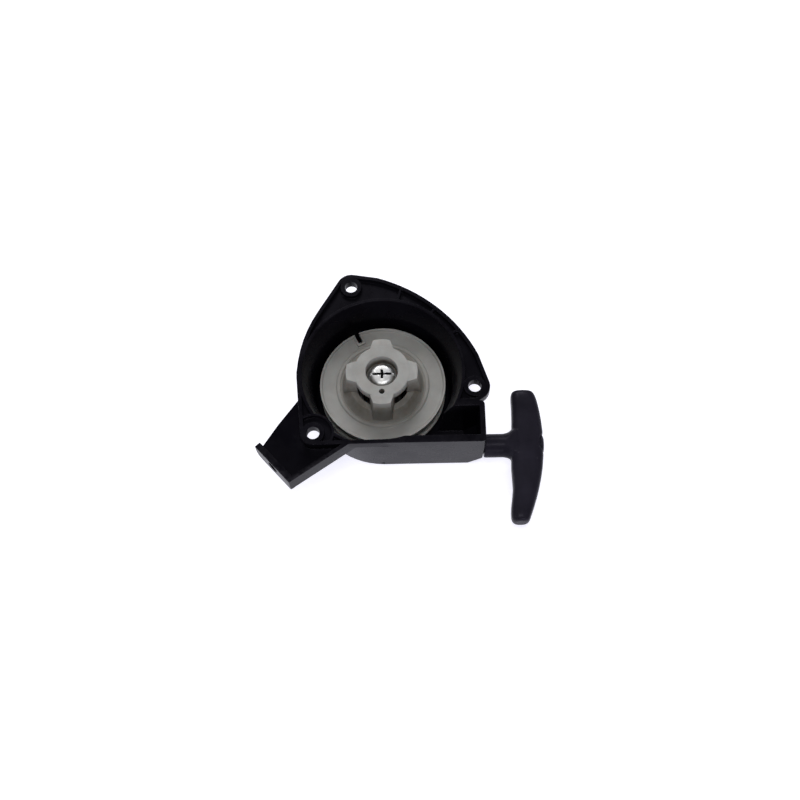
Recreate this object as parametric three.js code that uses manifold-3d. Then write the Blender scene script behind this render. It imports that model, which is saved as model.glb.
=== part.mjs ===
// A small engine's recoil starter: a moulded case with a spring-loaded rope reel and a T grip.
// Millimetres. The case lies on its flat back at z = 0, with the reel's axis on +Z towards the open
// side that bolts to the engine. The rope leaves along +X, near the wall on the -Y side.
import * as THREE from "three";
import { mergeVertices } from "three/addons/utils/BufferGeometryUtils.js";
import Module from "manifold-3d";

const wasm = await Module();
wasm.setup();

// A place in plan, beyond the drum's mouth on the line at this many degrees from +X.
function beyondDrum(distance, degrees) {
  const a = THREE.MathUtils.degToRad(degrees);
  return [(DRUM_TOP_R + distance) * Math.cos(a), (DRUM_TOP_R + distance) * Math.sin(a)];
}

function fromLeftEar(dx, dy) {
  const [x, y] = EARS.left.at;
  return [x + dx, y + dy];
}

// ---------------------------------------------------------------- driving dimensions
const ROUND = 64; // sides of the large round forms
const SMALL_ROUND = 24;
const GAP = 0.3; // between pieces that touch on the real starter
const CASE_DEPTH = 32; // back face to mounting plane
const WALL = 1.9;
const FLOOR = 2.4;

const REEL_R = 30;
const REEL_CLEAR = 2.7; // between the reel and the drum's inside, at the back
const DRUM_FOOT_R = REEL_R + REEL_CLEAR + WALL; // outside of the round drum, at its back
const DRUM_LEAN = 1.6;
const DRUM_TOP_R = DRUM_FOOT_R + DRUM_LEAN; // and at the mounting plane
const DRUM_EDGE = 1.4; // round-over at the back edge
const BOWL_TOP_R = DRUM_TOP_R + 1.2; // the flared mouth round the reel
const BOWL_FLARE = 9; // how far down the flare reaches

const BACK_DISC_R = 25; // flat disc in the middle of the back, inside a shallow groove
const BACK_GROOVE = 2.4;
const BACK_GROOVE_DEPTH = 0.8;

const FLANGE_THICK = 5;
const POCKET_DEPTH = 2;
const RIM_ARC_R = DRUM_TOP_R + 3.6; // outline on the side away from the grip
const BIG_ARC_R = DRUM_TOP_R + 42; // long outline curve between the top and the right ear
const BIG_ARC_CENTRE = [-26.1, -24.1];
const FLANK_ARC_R = DRUM_TOP_R + 31.1; // and the one between the top ear and the rim
const FLANK_ARC_CENTRE = [27.6, -1.8];
const HOLE_R = 3;
const BOSS_R = 5.2;
const EARS = {
  top: { at: beyondDrum(11.49, 107.83), r: 7, pocket: 0 },
  right: { at: beyondDrum(7.63, -11.18), r: 7.1, pocket: 0 },
  left: { at: beyondDrum(7.64, -135.74), r: 5.9, pocket: 8.5 },
};
const EAR_WALL = 1.2; // wall between an ear's own pocket and the bowl
const GUSSET_THICK = 3;
const GUSSET_DROP = 14;

const ROPE_R = 1.4;
const ROPE_Y = -REEL_R - 0.3; // line of the rope and of the grip's stem
const ROPE_Z = 11.5;
const END_X = DRUM_TOP_R + 10.4; // outer face of the end wall that the rope leaves by
const END_DRAFT = 0.6; // how far that wall leans out above the rope, and in below it
const END_FOOT = [7.4, 7]; // chamfer at the foot of the end wall: along x, up z
const FOOT_CHAMFER = 0.9; // along the foot of the straight wall, which leans out as the drum does
const WALL_INSET = 0.05; // how far that wall stands inside the drum's own side
const CHAMBER_TOP_Y = ROPE_Y + 14.5;
const PARTITION = 2.6;
const CHAMBER_LOW_X = 4;
const CORNER_R = 2;

const ARM_HEIGHT = 9.5; // rib and end plate, down from the mounting plane
const ARM_FLOOR = 2.2;
const ARM_FLOOR_RUN = 15.5; // length of the floor's slope, back from the end plate
const ARM_FLOOR_FALL = 2.6; // and how far it falls
const ARM_RIB = 1.8;
const ARM_PLATE = 3;
const ARM_TIP_LOW = fromLeftEar(-10.2, -23.8); // outer corners of the end plate
const ARM_TIP_HIGH = fromLeftEar(-26.2, -6.2);
const ARM_RIB_START = fromLeftEar(20, -3.2);
const ARM_EDGE_START = fromLeftEar(-6.6, 20.2);
const ARM_EDGE_END = fromLeftEar(-24.4, -4.2);
const ARM_HOLE_R = 2.8;
const ARM_HOLE_DROP = 3.8; // hole's centre below the mounting plane
const ARM_CORNER_R = 3.8; // lower free corner of the end plate
const ARM_WEB = 2.4;
const ARM_WEB_DROP = 8; // foot of the web under the arm, below the end plate
const ARM_WEB_FOOT = [-30.5, -28.5]; // the foot's ends, back from the end plate
const ARM_WEB_AT = 0.85; // its place along the end plate, as a share of the plate's length

const REEL_SETBACK = 14; // reel's rim below the mounting plane
const LIP_HEIGHT = 1;
const LIP_WIDTH = 0.8;
const FLANGE_DISH = 0.5;
const FRONT_WEB = 2;
const BACK_FLANGE_Z = 7.2;
const BACK_FLANGE = 1.8;
const GROOVE_R = 20.6;
const RIDGE_R = 21.2;
const RIDGE_HEIGHT = 0.6;
const RIDGE_WIDTH = 1.2;
const SPRING_WELL_R = 19.2;
const SPRING_WELL_TOP = 13.6;
const HUB_HEIGHT = 13.8; // hub's top above the reel's rim
const HUB_RING_R = 13.3;
const HUB_RING_THICK = 4;
const HUB_WINDOW_R = 13;
const HUB_TUBE_R = 9;
const HUB_TUBE_Z = FLOOR + 2.8; // clear of the post's foot
const HUB_FOOT_RISE = 2.4;
const LUG_R = 16.8;
const LUG_SPREAD = 2.4; // how much further out a lug's foot stands than its top
const LUG_DROP = 0.1;
const LUG_ARC = 58; // degrees that a lug takes up where it meets the ring
const LUG_TIP_ARC = 28; // and at its outer end
const LUG_COUNT = 4;
const COUNTERBORE_R = 7.5;
const COUNTERBORE_DEPTH = 7;
const HOOK_HOLE_R = 1.3;
const HOOK_HOLE_AT = 10.3;
const NOTCH_WIDTH = 2.2;
const NOTCH_DEPTH = 5.6;
const NOTCH_ANGLE = 115;
const NOTCH_RIB = 0.9;

const POST_R = 4.9;
const POST_FOOT_R = 7;
const BEARING_GAP = 0.3;
const SCREW_R = 2;
const SCREW_LENGTH = 13;
const SCREW_HEAD_R = 5.75;
const SCREW_HEAD = 2.4;
const SLOT_WIDTH = 1.1;
const SLOT_DEPTH = 1.1;
const WASHER_R = 6.7;
const WASHER = 0.8;

const CUP_R = 18.6;
const CUP_WALL = 0.8;
const CUP_HEIGHT = 8.4;
const CUP_HOLE_R = 9.8;
const SPRING_TURNS = 6;
const SPRING_STRIP = 0.6;
const SPRING_LOW_R = 10.4;
const SPRING_CLEAR = 0.5;

const STEM_R = 5.6;
const STEM_BORE_R = 3.4;
const STEM_SEAT = 0.6; // depth of the seat that clears the rope guide's flange
const BAR_INNER_X = END_X + 13.8;
const GRIP_THICK = 11.6;
const KNOT_R = 2.7;
const REEL_KNOT_R = 2.1; // pulled tight, behind the reel's back flange
const REEL_KNOT_AT = [0, -24];
const KNOT_SEAT_X = END_X + 18;
const KNOT_POCKET_R = 4.2;
const CAP_R = 4.8;
const CAP_THICK = 1.4;
const CAP_PLUG = 1.4;

const GUIDE_BORE_R = 1.9;
const GUIDE_R = 2.6;
const GUIDE_FLANGE_R = STEM_R - 1.2; // the stem's end closes round it
const GUIDE_FLANGE = 1;

// ---------------------------------------------------------------- heights and places worked out
const reelRimZ = CASE_DEPTH - REEL_SETBACK;
const flangeZ = reelRimZ - LIP_HEIGHT; // front flange's own face
const frontWebZ = flangeZ - FLANGE_DISH - FRONT_WEB;
const hubTopZ = reelRimZ + HUB_HEIGHT;
const counterboreZ = hubTopZ - COUNTERBORE_DEPTH;
const postTopZ = counterboreZ + GAP;
const earZ = CASE_DEPTH - FLANGE_THICK;
const pocketZ = CASE_DEPTH - POCKET_DEPTH;
const endInnerX = END_X - WALL;
const stemX = END_X + GAP;

const rad = THREE.MathUtils.degToRad;
const TAU = Math.PI * 2;

// ---------------------------------------------------------------- solids
// A three.js geometry as a closed solid, with its faces pointing out.
function solid(geometry) {
  const bare = geometry.index ? geometry.toNonIndexed() : geometry.clone();
  bare.deleteAttribute("normal");
  bare.deleteAttribute("uv");
  const merged = mergeVertices(bare, 1e-4);
  const all = merged.index.array;
  const kept = [];
  for (let i = 0; i < all.length; i += 3) {
    const [a, b, c] = [all[i], all[i + 1], all[i + 2]];
    if (a !== b && b !== c && c !== a) kept.push(a, b, c);
  }
  const vertProperties = merged.attributes.position.array;
  const build = (triVerts) => new wasm.Manifold(new wasm.Mesh({ numProp: 3, vertProperties, triVerts }));
  const made = build(new Uint32Array(kept));
  return made.volume() > 0 ? made : build(new Uint32Array(kept.reverse()));
}

function outline(points) {
  return new THREE.Shape(points.map(([x, y]) => new THREE.Vector2(x, y)));
}

// A flat outline raised from z0 to z1.
function plate(points, z0, z1) {
  const geometry = new THREE.ExtrudeGeometry(outline(points), { depth: z1 - z0, bevelEnabled: false });
  return solid(geometry.translate(0, 0, z0));
}

// An outline of [x, z] points carried along y.
function slab(points, y0, y1) {
  const geometry = new THREE.ExtrudeGeometry(outline(points), { depth: y1 - y0, bevelEnabled: false });
  return solid(geometry.rotateX(Math.PI / 2).translate(0, y1, 0));
}

// A profile of [radius, z] points turned about the z axis.
function turned(points, segments = ROUND) {
  const profile = points.map(([r, z]) => new THREE.Vector2(r, z));
  return solid(new THREE.LatheGeometry(profile, segments).rotateX(Math.PI / 2));
}

function rod(r, z0, z1, [x, y] = [0, 0], segments = SMALL_ROUND) {
  const geometry = new THREE.CylinderGeometry(r, r, z1 - z0, segments).rotateX(Math.PI / 2);
  return solid(geometry.translate(x, y, (z0 + z1) / 2));
}

// A round bar along x, on the rope's line unless told otherwise.
function barX(r, x0, x1, y = ROPE_Y, z = ROPE_Z, segments = SMALL_ROUND) {
  const geometry = new THREE.CylinderGeometry(r, r, x1 - x0, segments).rotateZ(Math.PI / 2);
  return solid(geometry.translate((x0 + x1) / 2, y, z));
}

function block(x0, x1, y0, y1, z0, z1) {
  const geometry = new THREE.BoxGeometry(x1 - x0, y1 - y0, z1 - z0);
  return solid(geometry.translate((x0 + x1) / 2, (y0 + y1) / 2, (z0 + z1) / 2));
}

// A profile of [x, radius] points turned about the rope's line.
function turnedX(points, segments = SMALL_ROUND) {
  const profile = points.map(([x, r]) => new THREE.Vector2(r, x));
  const geometry = new THREE.LatheGeometry(profile, segments).rotateZ(-Math.PI / 2);
  return solid(geometry.translate(0, ROPE_Y, ROPE_Z));
}

function joined(...parts) {
  return parts.reduce((whole, part) => whole.add(part));
}

function cut(whole, ...tools) {
  return tools.reduce((left, tool) => left.subtract(tool), whole);
}

function turnZ(piece, degrees) {
  return piece.rotate([0, 0, degrees]);
}

// ---------------------------------------------------------------- outlines
function arc([cx, cy], r, from, to, steps) {
  const points = [];
  for (let i = 0; i <= steps; i++) {
    const a = rad(from + ((to - from) * i) / steps);
    points.push([cx + r * Math.cos(a), cy + r * Math.sin(a)]);
  }
  return points;
}

// The convex outline round a set of points.
function wrapped(points) {
  const sorted = [...points].sort((a, b) => a[0] - b[0] || a[1] - b[1]);
  const turn = (o, a, b) => (a[0] - o[0]) * (b[1] - o[1]) - (a[1] - o[1]) * (b[0] - o[0]);
  const half = (list) => {
    const chain = [];
    for (const p of list) {
      while (chain.length > 1 && turn(chain.at(-2), chain.at(-1), p) <= 1e-6) chain.pop();
      chain.push(p);
    }
    return chain.slice(0, -1);
  };
  return [...half(sorted), ...half(sorted.reverse())];
}

// The flange's outline, moved in by inset all round.
function flangeOutline(inset) {
  return wrapped([
    ...Object.values(EARS).flatMap(({ at, r }) => arc(at, r - inset, 0, 360, 24)),
    ...arc(FLANK_ARC_CENTRE, FLANK_ARC_R - inset, 140, 178, 8),
    ...arc([0, 0], RIM_ARC_R - inset, 180, 188, 2),
    ...arc([0, 0], DRUM_TOP_R - inset, 200, 300, 16),
    ...arc(BIG_ARC_CENTRE, BIG_ARC_R - inset, 24, 72, 16),
  ]);
}

function roundedBox(x0, x1, y0, y1, r) {
  return [
    ...arc([x1 - r, y0 + r], r, -90, 0, 4),
    ...arc([x1 - r, y1 - r], r, 0, 90, 4),
    [x0, y1],
    [x0, y0],
  ];
}

// ---------------------------------------------------------------- starter case
function drum() {
  return turned([
    [0, 0],
    ...arc([DRUM_FOOT_R - DRUM_EDGE, DRUM_EDGE], DRUM_EDGE, -90, 0, 4),
    [DRUM_TOP_R, CASE_DEPTH],
    [0, CASE_DEPTH],
  ]);
}

// The square end of the case beside the drum, which the rope runs out through.
function ropeHousing() {
  const side = slab(
    [
      [0, 0],
      [END_X - END_FOOT[0], 0],
      [END_X - END_DRAFT, END_FOOT[1]],
      [END_X, END_FOOT[1] + END_DRAFT * 2],
      [END_X, ROPE_Z + STEM_R],
      [END_X + END_DRAFT, CASE_DEPTH],
      [0, CASE_DEPTH],
    ],
    -DRUM_TOP_R - 1,
    CHAMBER_TOP_Y + 1,
  );
  const plan = roundedBox(0, END_X + END_DRAFT, -DRUM_TOP_R, CHAMBER_TOP_Y, CORNER_R);
  // Outside the straight wall, drawn as [z, y] and laid along x.
  const footY = WALL_INSET - DRUM_FOOT_R;
  const outside = [
    [-1, footY + FOOT_CHAMFER],
    [0, footY + FOOT_CHAMFER],
    [FOOT_CHAMFER, footY],
    [CASE_DEPTH, WALL_INSET - DRUM_TOP_R],
    [CASE_DEPTH, -DRUM_TOP_R - 1],
    [-1, -DRUM_TOP_R - 1],
  ];
  const lean = plate(outside, -1, END_X + 2).rotate([0, 90, 0]).scale([1, 1, -1]);
  return cut(side.intersect(plate(plan, -1, CASE_DEPTH + 1)), lean);
}

function bowlSpace() {
  const foot = DRUM_FOOT_R - WALL;
  const top = DRUM_TOP_R - WALL;
  const flareZ = CASE_DEPTH - BOWL_FLARE;
  const above = CASE_DEPTH + 1;
  const flare = turned([
    [0, FLOOR],
    [foot - 1, FLOOR],
    [foot, FLOOR + 1],
    [foot + (top - foot) * (flareZ / CASE_DEPTH), flareZ],
    [BOWL_TOP_R, CASE_DEPTH - 0.8],
    [BOWL_TOP_R, above],
    [0, above],
  ]);
  const inside = flare.intersect(plate(flangeOutline(WALL), FLOOR, above));
  const ear = EARS.left;
  return cut(inside, rod(ear.pocket + EAR_WALL, earZ, above, ear.at));
}

function chamberSpace() {
  const above = CASE_DEPTH + 1;
  const side = [
    [CHAMBER_LOW_X, FLOOR],
    [endInnerX - END_FOOT[0] + FLOOR / 2, FLOOR],
    [endInnerX, END_FOOT[1] + WALL],
    [endInnerX, above],
    [CHAMBER_LOW_X, above],
  ];
  return slab(side, WALL - DRUM_FOOT_R, CHAMBER_TOP_Y - PARTITION);
}

// The shallow pockets between the bowl and the rim, with the screw bosses left standing in them.
function pockets() {
  const above = CASE_DEPTH + 1;
  const field = plate(flangeOutline(WALL), pocketZ, above);
  const bosses = Object.values(EARS).map(({ at }) => rod(BOSS_R, pocketZ - 1, above, at));
  const bowlWall = rod(BOWL_TOP_R + 1.5, pocketZ - 1, above, [0, 0], ROUND);
  const housing = block(
    0, END_X + 2, -DRUM_TOP_R - 1, CHAMBER_TOP_Y + 1, pocketZ - 1, above);
  const ribs = [30, 52, 78].map((a) =>
    turnZ(block(BOWL_TOP_R, BOWL_TOP_R + 20, -0.6, 0.6, pocketZ - 1, above), a));
  const general = cut(field, bowlWall, housing, ...bosses, ...ribs);
  const ear = EARS.left;
  const own = cut(
    rod(ear.pocket, pocketZ, above, ear.at).intersect(plate(flangeOutline(WALL), pocketZ, above)),
    rod(BOSS_R, pocketZ - 1, above, ear.at),
  );
  const ring = rod(ear.pocket + EAR_WALL, pocketZ - 1, above, ear.at);
  return cut(general, ring).add(own);
}

// A three-cornered web under an ear, from the drum's wall out to the boss.
function gusset({ at: [x, y] }) {
  const reach = Math.hypot(x, y) + 2;
  const web = slab(
    [
      [DRUM_FOOT_R - 1, earZ - GUSSET_DROP],
      [DRUM_FOOT_R + 1, earZ - GUSSET_DROP],
      [reach, earZ - 2],
      [reach, earZ + 1],
      [DRUM_FOOT_R - 1, earZ + 1],
    ],
    -GUSSET_THICK / 2,
    GUSSET_THICK / 2,
  );
  return turnZ(web, THREE.MathUtils.radToDeg(Math.atan2(y, x)));
}

// A wall between two heights, on the line from a to b and to the left of it.
function fence(a, b, thick, z0, z1) {
  const [dx, dy] = [b[0] - a[0], b[1] - a[1]];
  const length = Math.hypot(dx, dy);
  const [nx, ny] = [(-dy / length) * thick, (dx / length) * thick];
  return plate([a, b, [b[0] + nx, b[1] + ny], [a[0] + nx, a[1] + ny]], z0, z1);
}

// The bracket arm: a floor that falls away from the flange, between a rib and an upright end plate.
function arm() {
  const [lx, ly] = ARM_TIP_LOW;
  const [hx, hy] = ARM_TIP_HIGH;
  const length = Math.hypot(hx - lx, hy - ly);
  const along = THREE.MathUtils.radToDeg(Math.atan2(hy - ly, hx - lx));
  const low = CASE_DEPTH - ARM_HEIGHT;
  const back = -DRUM_TOP_R;
  const settle = (piece, degrees) => turnZ(piece, degrees).translate([lx, ly, 0]);
  // The end plate is drawn standing on x = along itself, z = up.
  const face = [
    [0, low],
    ...arc([length - ARM_CORNER_R, low + ARM_CORNER_R], ARM_CORNER_R, -90, 0, 5),
    [length, CASE_DEPTH],
    [0, CASE_DEPTH],
  ];
  const hole = new THREE.CylinderGeometry(ARM_HOLE_R, ARM_HOLE_R, ARM_PLATE * 3, 24);
  const upright = cut(
    slab(face, -ARM_PLATE, 0),
    solid(hole.translate(length / 2, -ARM_PLATE / 2, CASE_DEPTH - ARM_HOLE_DROP)),
  );
  // The floor and its web are drawn with x pointing out through the end plate.
  const fallen = earZ - ARM_FLOOR_FALL;
  const slope = slab(
    [
      [back, earZ],
      [-ARM_FLOOR_RUN, earZ],
      [-1, fallen],
      [-1, fallen - ARM_FLOOR],
      [-ARM_FLOOR_RUN, earZ - ARM_FLOOR],
      [back, earZ - ARM_FLOOR],
    ],
    back,
    -back,
  );
  const webLow = low - ARM_WEB_DROP;
  const [footFar, footNear] = ARM_WEB_FOOT;
  const webAt = -length * ARM_WEB_AT;
  const web = slab(
    [
      [footFar, webLow],
      [footNear, webLow],
      [-ARM_PLATE, fallen - ARM_FLOOR],
      [-ARM_PLATE, fallen - 1],
      [-ARM_FLOOR_RUN, earZ - 1],
      [footFar, earZ - 1],
    ],
    webAt - ARM_WEB / 2,
    webAt + ARM_WEB / 2,
  );
  const plan = plate([ARM_EDGE_START, ARM_EDGE_END, ARM_TIP_LOW, ARM_RIB_START], 0, CASE_DEPTH);
  const ear = EARS.left;
  const floor = cut(settle(slope, along + 90).intersect(plan), rod(ear.r - 1, 0, earZ, ear.at));
  const rib = fence(ARM_TIP_LOW, ARM_RIB_START, ARM_RIB, low, CASE_DEPTH);
  return joined(floor, settle(web, along + 90), rib, settle(upright, along));
}

function starterCase() {
  const flange = plate(flangeOutline(0), earZ, CASE_DEPTH);
  const shell = joined(drum(), ropeHousing(), flange, arm(), gusset(EARS.top));
  const holes = Object.values(EARS).map(({ at }) => rod(HOLE_R, -1, CASE_DEPTH + 1, at));
  const outlet = barX(GUIDE_R + 0.05, endInnerX - 1, END_X + 2);
  const backRecess = rod(BACK_DISC_R + BACK_GROOVE, -1, BACK_GROOVE_DEPTH, [0, 0], ROUND);
  const backDisc = plate(arc([0, 0], BACK_DISC_R, 2, 362, ROUND - 1).slice(1), 0, FLOOR - 1);
  const cupSeat = rod(CUP_R + GAP, FLOOR - 0.4, FLOOR + 1, [0, 0], ROUND);
  const post = turned(
    [
      [0, FLOOR - 1],
      [POST_FOOT_R + 1, FLOOR - 1],
      [POST_FOOT_R + 0.6, FLOOR + 0.6],
      [POST_R + 0.6, FLOOR + 1.6],
      [POST_R, FLOOR + 2.6],
      [POST_R, postTopZ - 0.5],
      [POST_R - 0.5, postTopZ],
      [0, postTopZ],
    ],
    32,
  );
  const screwHole = rod(SCREW_R + GAP, postTopZ - SCREW_LENGTH - 1, postTopZ + 1);
  const base = cut(shell, backRecess).add(backDisc);
  const hollow = cut(base, bowlSpace(), chamberSpace(), pockets(), ...holes, outlet, cupSeat);
  return cut(hollow.add(post), screwHole);
}

// ---------------------------------------------------------------- reel
function reelBody() {
  const groove = [
    [GROOVE_R, frontWebZ],
    [GROOVE_R, BACK_FLANGE_Z + BACK_FLANGE],
    [REEL_R - 1, BACK_FLANGE_Z + BACK_FLANGE - 0.3],
    [REEL_R, BACK_FLANGE_Z + BACK_FLANGE - 0.8],
    [REEL_R, BACK_FLANGE_Z],
  ];
  const ridgeTop = flangeZ - FLANGE_DISH + RIDGE_HEIGHT;
  return turned([
    [SPRING_WELL_R, BACK_FLANGE_Z],
    [SPRING_WELL_R, SPRING_WELL_TOP],
    [HUB_WINDOW_R, SPRING_WELL_TOP],
    [HUB_WINDOW_R, reelRimZ + HUB_FOOT_RISE],
    [LUG_R - 1, reelRimZ + HUB_FOOT_RISE],
    [RIDGE_R - RIDGE_WIDTH, flangeZ - FLANGE_DISH],
    [RIDGE_R - RIDGE_WIDTH / 2, ridgeTop],
    [RIDGE_R + RIDGE_WIDTH / 2, ridgeTop],
    [RIDGE_R + RIDGE_WIDTH, flangeZ - FLANGE_DISH],
    [REEL_R - LIP_WIDTH - 0.5, flangeZ],
    [REEL_R - LIP_WIDTH, reelRimZ],
    [REEL_R, reelRimZ],
    [REEL_R, frontWebZ + 1.2],
    [REEL_R - 0.8, frontWebZ + 0.6],
    ...groove,
    [SPRING_WELL_R, BACK_FLANGE_Z],
  ]);
}

// The raised hub: a ring carried on lugs, which the engine's pawls drive, round the bearing tube.
function hub() {
  const lugTop = hubTopZ - LUG_DROP;
  const ringLow = hubTopZ - HUB_RING_THICK;
  const tube = turned(
    [
      [POST_R + BEARING_GAP, HUB_TUBE_Z],
      [HUB_TUBE_R, HUB_TUBE_Z],
      [HUB_TUBE_R, ringLow],
      [HUB_RING_R, ringLow],
      [HUB_RING_R, hubTopZ - 0.4],
      [HUB_RING_R - 0.4, hubTopZ],
      [COUNTERBORE_R + 0.3, hubTopZ],
      [COUNTERBORE_R, hubTopZ - 0.3],
      [COUNTERBORE_R, counterboreZ],
      [POST_R + BEARING_GAP, counterboreZ],
      [POST_R + BEARING_GAP, HUB_TUBE_Z],
    ],
    48,
  );
  // A lug's outline at one height: it narrows outwards, with hollow flanks.
  const level = (reach, z) => {
    const [half, tip] = [LUG_ARC / 2, LUG_TIP_ARC / 2];
    const waist = (HUB_RING_R + reach) / 2;
    const flank = tip + (half - tip) * 0.3;
    const [across, aside] = [waist * Math.cos(rad(flank)), waist * Math.sin(rad(flank))];
    return [
      ...arc([0, 0], reach, -tip, tip, 6),
      [across, aside],
      ...arc([0, 0], HUB_RING_R - 1, half, -half, 6),
      [across, -aside],
    ].map(([x, y]) => new THREE.Vector3(x, y, z));
  };
  const lug = lofted([level(LUG_R + LUG_SPREAD, reelRimZ - 2), level(LUG_R, lugTop)]);
  const inner = rod(HUB_WINDOW_R, reelRimZ - 3, ringLow, [0, 0], 48);
  const lugs = [];
  for (let i = 0; i < LUG_COUNT; i++) lugs.push(turnZ(cut(lug, inner), (360 / LUG_COUNT) * i));
  return joined(tube, ...lugs);
}

function reel() {
  const raised = NOTCH_WIDTH / 2 + NOTCH_RIB;
  const collar = block(
    REEL_R - NOTCH_DEPTH - NOTCH_RIB, REEL_R - 0.2, -raised, raised, frontWebZ + 0.5, reelRimZ - 0.1);
  const notch = joined(
    block(REEL_R - NOTCH_DEPTH + NOTCH_WIDTH / 2, REEL_R + 1,
      -NOTCH_WIDTH / 2, NOTCH_WIDTH / 2, frontWebZ - 1, reelRimZ + 1),
    rod(NOTCH_WIDTH / 2, frontWebZ - 1, reelRimZ + 1, [REEL_R - NOTCH_DEPTH + NOTCH_WIDTH / 2, 0], 12),
  );
  const hookHole = rod(HOOK_HOLE_R, hubTopZ - HUB_RING_THICK - 1, hubTopZ + 1, [0, -HOOK_HOLE_AT], 16);
  const knotHole = rod(ROPE_R + GAP, BACK_FLANGE_Z - 1, windingZ0, REEL_KNOT_AT, 16);
  const whole = joined(reelBody(), hub(), turnZ(collar, NOTCH_ANGLE));
  return cut(whole, turnZ(notch, NOTCH_ANGLE), hookHole, knotHole);
}

// ---------------------------------------------------------------- spring and its cup
function springCup() {
  const z0 = FLOOR - 0.4 + GAP;
  return turned(
    [
      [CUP_HOLE_R, z0],
      [CUP_R, z0],
      [CUP_R, z0 + CUP_HEIGHT],
      [CUP_R - CUP_WALL, z0 + CUP_HEIGHT],
      [CUP_R - CUP_WALL, z0 + CUP_WALL],
      [CUP_HOLE_R, z0 + CUP_WALL],
      [CUP_HOLE_R, z0],
    ],
    40,
  );
}

function recoilSpring() {
  const z0 = FLOOR - 0.4 + GAP * 2 + CUP_WALL;
  const z1 = z0 + CUP_HEIGHT - CUP_WALL - GAP * 2;
  const high = CUP_R - CUP_WALL - SPRING_CLEAR;
  const steps = SPRING_TURNS * 18;
  const side = (offset) => {
    const points = [];
    for (let i = 0; i <= steps; i++) {
      const t = i / steps;
      const r = SPRING_LOW_R + (high - SPRING_LOW_R - SPRING_STRIP) * t + offset;
      const a = TAU * SPRING_TURNS * t;
      points.push([r * Math.cos(a), r * Math.sin(a)]);
    }
    return points;
  };
  return plate([...side(0), ...side(SPRING_STRIP).reverse()], z0, z1);
}

// ---------------------------------------------------------------- screw and washer
function centreWasher() {
  return cut(rod(WASHER_R, postTopZ + GAP, postTopZ + GAP + WASHER), rod(SCREW_R + GAP, 0, CASE_DEPTH));
}

function centreScrew() {
  const under = postTopZ + GAP * 2 + WASHER;
  const body = turned(
    [
      [0, postTopZ - SCREW_LENGTH],
      [SCREW_R - 0.6, postTopZ - SCREW_LENGTH],
      [SCREW_R, postTopZ - SCREW_LENGTH + 1],
      [SCREW_R, under],
      [SCREW_HEAD_R, under],
      [SCREW_HEAD_R, under + SCREW_HEAD * 0.45],
      [SCREW_HEAD_R * 0.9, under + SCREW_HEAD * 0.75],
      [SCREW_HEAD_R * 0.62, under + SCREW_HEAD * 0.95],
      [0, under + SCREW_HEAD],
    ],
    28,
  );
  const low = under + SCREW_HEAD - SLOT_DEPTH;
  const half = SLOT_WIDTH / 2;
  const slot = block(-SCREW_HEAD_R - 1, SCREW_HEAD_R + 1, -half, half, low, hubTopZ);
  const cross = block(-half, half, -2.4, 2.4, low - 0.5, hubTopZ);
  return cut(body, slot, cross);
}

// ---------------------------------------------------------------- rope
const windingZ0 = BACK_FLANGE_Z + BACK_FLANGE + GAP;
const windingZ1 = frontWebZ - GAP;
const windingR = -ROPE_Y - 1;

function ropeWinding() {
  return turned(
    [
      [GROOVE_R + GAP, windingZ0],
      [windingR, windingZ0],
      [windingR, windingZ1],
      [GROOVE_R + GAP, windingZ1],
      [GROOVE_R + GAP, windingZ0],
    ],
    48,
  );
}

// A knot as a rounded lump.
function knot(r, [x, y, z]) {
  const geometry = new THREE.SphereGeometry(r, 12, 8);
  return solid(geometry.translate(x, y, z));
}

// The rope's end behind the back flange, with the short stretch that passes through it.
function reelKnot() {
  const [x, y] = REEL_KNOT_AT;
  const z = BACK_FLANGE_Z - GAP - REEL_KNOT_R;
  return knot(REEL_KNOT_R, [x, y, z]).add(rod(ROPE_R, z, windingZ0 - GAP, [x, y], 12));
}

// ---------------------------------------------------------------- rope guide
function ropeGuide() {
  const outer = END_X + GAP;
  return turnedX([
    [endInnerX - 1, GUIDE_BORE_R + 0.3],
    [endInnerX - 1, GUIDE_R - 0.25],
    [outer, GUIDE_R - 0.25],
    [outer, GUIDE_FLANGE_R - 0.3],
    [outer + GUIDE_FLANGE * 0.4, GUIDE_FLANGE_R],
    [outer + GUIDE_FLANGE, GUIDE_FLANGE_R - 0.5],
    [outer + GUIDE_FLANGE, GUIDE_BORE_R + 0.6],
    [outer + GUIDE_FLANGE * 0.5, GUIDE_BORE_R],
    [endInnerX - 0.6, GUIDE_BORE_R],
    [endInnerX - 1, GUIDE_BORE_R + 0.3],
  ]);
}

// ---------------------------------------------------------------- grip
// Stations along the bar: [distance from the stem's line, inner and outer edge's distance from the
// case's end wall, thickness].
const GRIP_STATIONS = [
  [-38.1, 13.4, 18.6, 7],
  [-37.3, 12.1, 19.8, 9],
  [-35.4, 11.5, 20.6, 10],
  [-31, 11.7, 22.3, 10.4],
  [-22, 13, 25.2, 11.2],
  [-12, 12.8, 27.5, 11.6],
  [0, 13.4, 28.7, 11.6],
  [12, 14.2, 28.3, 11.6],
  [20, 14.4, 27.3, 11.2],
  [24.4, 14.4, 26.3, 10.4],
  [26.5, 14.9, 25.2, 9],
  [27.1, 16.2, 23.7, 7],
];
const GRIP_STEPS = 22;
const GRIP_SIDES = 20;
const GRIP_SQUARENESS = 2.9; // 2 is an oval section, higher is boxier

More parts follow.
